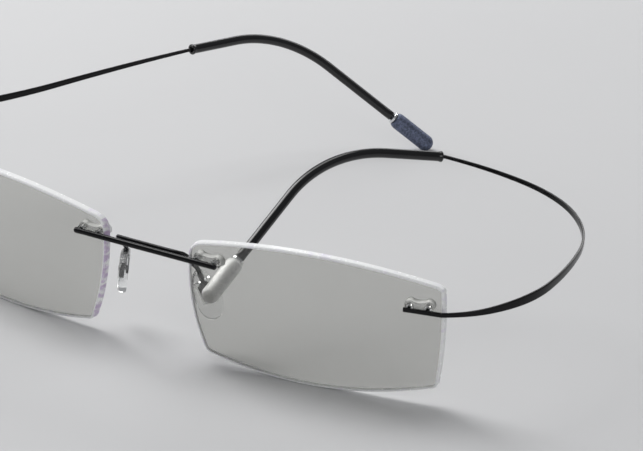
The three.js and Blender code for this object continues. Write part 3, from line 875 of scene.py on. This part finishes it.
def bow_ring(point, tangent, from_end):
    """The section of the wire: round, and flatter and squarer where it becomes a paddle."""
    side = 1 if point[0] > 0 else -1
    flat = np.clip((PADDLE_LENGTH - from_end) / PADDLE_BLEND, 0, 1)
    flat = flat * flat * (3 - 2 * flat)
    # It stays above zero, so that the very end keeps a small face.
    end_round = math.sqrt(max(0.02, 1 - max(0, 1 - from_end / PADDLE_END) ** 2))
    _, _, inward = pad_axes(side)
    thin = across(inward, tangent)
    wide = np.cross(thin, tangent) * side
    half_wide = (BOW_RADIUS + (PADDLE_WIDTH / 2 - BOW_RADIUS) * flat) * end_round
    half_thin = BOW_RADIUS + (PADDLE_THICKNESS / 2 - BOW_RADIUS) * flat
    return rounded_ring(point, half_wide * wide, half_thin * thin, PADDLE_SQUARENESS * flat, 24)


def build_pad_arm_bow():
    """The wire behind the bridge bar, flattened to a paddle in each nose pad."""
    path = bow_path()
    distances = walked(path)
    from_ends = np.minimum(distances, distances[-1] - distances)
    points, faces = skin([bow_ring(p, t, d) for p, t, d in zip(path, tangents(path), from_ends)])
    piece = new_piece("pad_arm_bow_wire", points, faces, TITANIUM, sharp=50)
    holes = []
    for side in SIDES.values():
        centre, axis, inward = pad_axes(side)
        place = centre + axis * (PADDLE_SHIFT - PADDLE_HOLE_DROP)
        holes.append(rod(place - CUT_PAST * inward, place + CUT_PAST * inward, PADDLE_HOLE))
    with_booleans(piece, holes, "DIFFERENCE")
    finish_piece(piece, "front", ["pad_arm_bow"])


def box_tool(centre, axis, thin, width, length, thickness):
    """A box to cut with, its length along the axis and its thickness along thin."""
    wide = np.cross(axis, thin)
    corners = [(-1, -1), (1, -1), (1, 1), (-1, 1)]
    rings = []
    for end in (-1, 1):
        base = centre + end * length / 2 * axis
        ring = [base + a * width / 2 * wide + b * thickness / 2 * thin for a, b in corners]
        rings.append(np.array(ring))
    points, faces = skin(rings)
    return new_piece("box", points, faces, None)


def pad_outline():
    """A rounded teardrop, wide at the bottom and narrower at the top, as [across, along]."""
    angles = np.linspace(0, 2 * math.pi, PAD_STEPS, endpoint=False)
    along = np.sin(angles)
    taper = 1 - PAD_TAPER * (along + 1) / 2
    cos = np.cos(angles)
    x = np.sign(cos) * np.abs(cos) ** (1 - PAD_SQUARENESS) * taper * PAD_WIDTH / 2
    return np.stack([x, along * PAD_LENGTH / 2], axis=1)


def build_nose_pad(name, side):
    """A soft pad with a pocket for the paddle and a channel for the wire."""
    centre, axis, inward = pad_axes(side)
    wide = np.cross(axis, inward)
    half = PAD_THICKNESS / 2
    outline = pad_outline()
    rings = []
    for scale, depth in PAD_LAYERS:
        base = centre + depth * half * inward
        rings.append(np.array([base + scale * (x * wide + y * axis) for x, y in outline]))
    points, faces = skin(rings)
    piece = new_piece(f"nose_pad_{name}_silicone", points, faces, SILICONE, sharp=60)
    pocket = box_tool(
        centre + PADDLE_SHIFT * axis, axis, inward,
        PADDLE_WIDTH + PAD_PLAY, PADDLE_LENGTH + PAD_PLAY, PADDLE_THICKNESS + PAD_PLAY,
    )
    channel = box_tool(
        centre + (PADDLE_SHIFT + PAD_LENGTH / 2) * axis, axis, inward,
        2 * BOW_RADIUS + PAD_PLAY, PAD_LENGTH, 2 * BOW_RADIUS + PAD_PLAY,
    )
    with_booleans(piece, [pocket, channel], "DIFFERENCE")
    finish_piece(piece, f"nose_pad_{name}_body", [f"nose_pad_{name}"])


# ---- Temples ----


def strip_ring(point, direction, height, thickness=STRIP_THICKNESS, squareness=STRIP_SQUARENESS):
    """A rounded rectangle across the strip."""
    thin = unit(np.cross(FLEX_UP, direction))
    return rounded_ring(point, thickness / 2 * thin, height / 2 * FLEX_UP, squareness, 20)


def strip_piece(name, steps):
    """A length of the strip along some steps of the temple path."""
    points, faces = skin([strip_ring(p, d, strip_height(s)) for p, d, s in steps])
    return new_piece(name, points, faces, TITANIUM, sharp=50)


def sleeve_path(side, mouth, turn):
    """The sleeve's centre line from its mouth to the tip's ring, its last heading and its side."""
    ahead = heading(side, turn, SLEEVE_RISE)
    above = across(FLEX_UP, ahead)
    inward = side * np.cross(above, ahead)
    drop = -math.cos(SLEEVE_INWARD_TILT) * above + math.sin(SLEEVE_INWARD_TILT) * inward
    bend_radius = SLEEVE_BEND_LENGTH / SLEEVE_BEND_ANGLE
    points = [mouth + ahead * s for s in np.linspace(0, SLEEVE_STRAIGHT, 12)]
    corner = points[-1]
    for angle in np.linspace(0, SLEEVE_BEND_ANGLE, 36)[1:]:
        sideways = bend_radius * (1 - math.cos(angle)) * drop
        points.append(corner + bend_radius * math.sin(angle) * ahead + sideways)
    onward = math.cos(SLEEVE_BEND_ANGLE) * ahead + math.sin(SLEEVE_BEND_ANGLE) * drop
    tail = SLEEVE_TAIL - (TIP_LENGTH - TIP_RADIUS) - RING_LENGTH - 2 * RING_GAP
    last = points[-1]
    points += [last + onward * s for s in np.linspace(0, tail, 14)[1:]]
    return points, onward, np.cross(ahead, drop)


def finish_bend(piece, node):
    """Bakes a piece's place into its mesh, in place of a CAD node."""
    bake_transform(piece)
    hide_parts(node)


def build_strip(name, side):
    """The strip: a rigid front part, and a piece across each flex but the last."""
    path, turn = temple_path(side, TURNS[name])
    middles = [(a + b) / 2 for a, b in zip(STRIP_FLEXES, STRIP_FLEXES[1:])]
    cuts = [nearest_step(path, distance) for distance in (STRIP_BLEND_FROM, *middles)]
    root = strip_piece(f"temple_strip_{name}_front", path[: cuts[0] + 1])
    pins = [pin_rod(side, place, -STRIP_OFFSET, PIN_END, PIN_RADIUS) for place in pin_places(side)[1]]
    with_booleans(root, pins, "UNION")
    finish_piece(root, "front", [f"temple_strip_{name}_root"])
    for k in range(len(middles)):
        steps = path[cuts[k] : cuts[k + 1] + 1]
        piece = strip_piece(f"temple_strip_{name}_flex_{k + 1}", steps)
        node = f"temple_strip_{name}_{k + 1}"
        finish_bend(piece, node)
    return path[cuts[-1] :], turn


def build_strip_end(name, steps, ahead):
    """The tail of the strip, narrowing into the round wire that enters the sleeve."""
    rings = [strip_ring(p, d, strip_height(s)) for p, d, s in steps]
    last_height = strip_height(steps[-1][2])
    for s in np.linspace(0.3, WIRE_REACH, 8):
        share = min(s / WIRE_TAPER, 1)
        height = last_height * (1 - share) + WIRE_THICKNESS * share
        thickness = STRIP_THICKNESS * (1 - share) + WIRE_THICKNESS * share
        point = steps[-1][0] + s * ahead
        rings.append(strip_ring(point, ahead, height, thickness, STRIP_SQUARENESS * (1 - share)))
    points, faces = skin(rings)
    piece = new_piece(f"temple_strip_{name}_tail", points, faces, TITANIUM, sharp=50)
    finish_bend(piece, f"temple_core_wire_{name}")


def build_sleeve(name, points, first):
    """The ear sleeve: an open tube with a lip at its mouth."""
    points = np.array(points)
    lengths = walked(points)
    # Stations that shape the lip and the rounded ends, besides the points of the path.
    lip = [0.12, SLEEVE_LIP, SLEEVE_LIP + SLEEVE_LIP_FADE / 2, SLEEVE_LIP + SLEEVE_LIP_FADE]
    stations = np.unique(np.concatenate([lengths, lip, [lengths[-1] - SLEEVE_EDGE]]))
    path = resampled(points, stations)
    fade = np.clip((stations - SLEEVE_LIP) / SLEEVE_LIP_FADE, 0, 1)
    outer = SLEEVE_RADIUS + (SLEEVE_FLARE_RADIUS - SLEEVE_RADIUS) * (1 - fade)
    outer[[0, -1]] -= SLEEVE_EDGE
    reference = carried(path, first)
    along = tangents(path)
    outside = [circle(p, t, r, radius, 32) for p, t, r, radius in zip(path, along, reference, outer)]
    inside = [circle(p, t, r, SLEEVE_BORE, 32) for p, t, r in zip(path, along, reference)]
    mesh_points, faces = skin([*outside, *reversed(inside)], closed=True)
    piece = new_piece(f"ear_sleeve_{name}_gloss", mesh_points, faces, SLEEVE, sharp=50)
    finish_bend(piece, f"ear_sleeve_{name}")


def build_ring(name, end, onward, first, body):
    """The bright ring between the sleeve and the tip, open for the wire."""
    start = end + RING_GAP * onward
    profile = [
        (0, RING_RADIUS - RING_EDGE),
        (RING_EDGE, RING_RADIUS),
        (RING_LENGTH - RING_EDGE, RING_RADIUS),
        (RING_LENGTH, RING_RADIUS - RING_EDGE),
        (RING_LENGTH, SLEEVE_BORE),
        (0, SLEEVE_BORE),
    ]
    points, faces = turned(start, onward, first, profile, 40, closed=True)
    piece = new_piece(f"tip_ring_{name}_bright", points, faces, BRIGHT, sharp=30)
    finish_piece(piece, body, [f"tip_ring_{name}"])


def build_tip(name, end, onward, first, body):
    """The capsule on the end of the temple: a neck, a straight barrel and a dome."""
    start = end + (RING_LENGTH + 2 * RING_GAP) * onward
    straight = TIP_LENGTH - TIP_RADIUS
    neck = [(0, TIP_NECK - 0.12), (0.12, TIP_NECK), (0.45, TIP_RADIUS - 0.09), (0.9, TIP_RADIUS - 0.01)]
    barrel = [(straight * t, TIP_RADIUS) for t in (0.2, 0.5, 0.8)]
    dome = []
    for angle in np.linspace(0, math.radians(84), 14):
        dome.append((straight + TIP_RADIUS * math.sin(angle), TIP_RADIUS * math.cos(angle)))
    points, faces = turned(start, onward, first, [*neck, *barrel, *dome], 48)
    # The right tip gets the painted shade copy of the frosted metal.
    piece = new_piece(f"temple_tip_{name}_frosted", points, faces, TIP_METAL_AND_PAINTED_SHADE[name], sharp=40)
    finish_piece(piece, body, [f"temple_tip_{name}"])


def build_temple(name, side):
    """One temple, from the strip at the lens to the tip. The last flex lies across the strip's tail, by
    the sleeve's mouth.
    """
    ear = f"temple_{name}_ear"
    last_steps, turn = build_strip(name, side)
    ahead = heading(side, turn, SLEEVE_RISE)
    flex = last_steps[-1][0]
    points, onward, first = sleeve_path(side, flex + SLEEVE_MOUTH * ahead, turn)
    build_strip_end(name, last_steps, ahead)
    build_sleeve(name, points, first)
    build_ring(name, points[-1], onward, first, ear)
    build_tip(name, points[-1], onward, first, ear)


# ---- Stage ----


def build_camera():
    """The camera that was fitted to the photo."""
    azimuth = math.radians(CAMERA_AZIMUTH)
    elevation = math.radians(CAMERA_ELEVATION)
    roll = math.radians(CAMERA_ROLL)
    backward = vec(
        math.cos(elevation) * math.sin(azimuth),
        -math.cos(elevation) * math.cos(azimuth),
        math.sin(elevation),
    )
    level = vec(math.cos(azimuth), math.sin(azimuth), 0)
    right = math.cos(roll) * level + math.sin(roll) * np.cross(backward, level)
    upward = np.cross(backward, right)
    data = bpy.data.cameras.new("camera")
    data.lens = CAMERA_LENS
    data.sensor_width = 36
    data.clip_start = 0.01
    camera = bpy.data.objects.new("camera", data)
    columns = np.stack([right, upward, backward], axis=1)
    camera.matrix_world = Matrix.Translation(CAMERA_PLACE) @ Matrix(columns.tolist()).to_4x4()
    bpy.context.scene.collection.objects.link(camera)
    bpy.context.scene.camera = camera


def build_floor():
    mesh = bpy.data.meshes.new("floor")
    bm = bmesh.new()
    bmesh.ops.create_grid(bm, x_segments=8, y_segments=8, size=FLOOR_HALF_SIZE)
    bm.to_mesh(mesh)
    bm.free()
    mesh.materials.append(floor_material())
    floor = bpy.data.objects.new("floor", mesh)
    bpy.context.scene.collection.objects.link(floor)


def area_light(name, place, size, power):
    data = bpy.data.lights.new(name, "AREA")
    data.shape = "RECTANGLE"
    data.size, data.size_y = size
    data.energy = power
    light = bpy.data.objects.new(name, data)
    light.location = place
    light.rotation_euler = (-Vector(place)).to_track_quat("-Z", "Y").to_euler()
    bpy.context.scene.collection.objects.link(light)


def build_lights():
    for name, (place, size, power) in LIGHTS.items():
        area_light(name, place, size, power)
    world = bpy.data.worlds.new("studio")
    world.use_nodes = True
    background = world.node_tree.nodes["Background"]
    background.inputs["Color"].default_value = WORLD_COLOUR
    background.inputs["Strength"].default_value = WORLD_STRENGTH
    bpy.context.scene.world = world
    bpy.context.scene.view_settings.view_transform = "Standard"


build_camera()
build_floor()
build_lights()
for side_name, side_sign in SIDES.items():
    bridge_pins, temple_pins = pin_places(side_sign)
    build_lens(side_name, side_sign)
    build_plug(side_name, "bridge", side_sign, bridge_pins)
    build_plug(side_name, "temple", side_sign, temple_pins)
    build_nose_pad(side_name, side_sign)
    build_temple(side_name, side_sign)
build_bridge_bar()
build_pad_arm_bow()

bpy.context.view_layer.update()
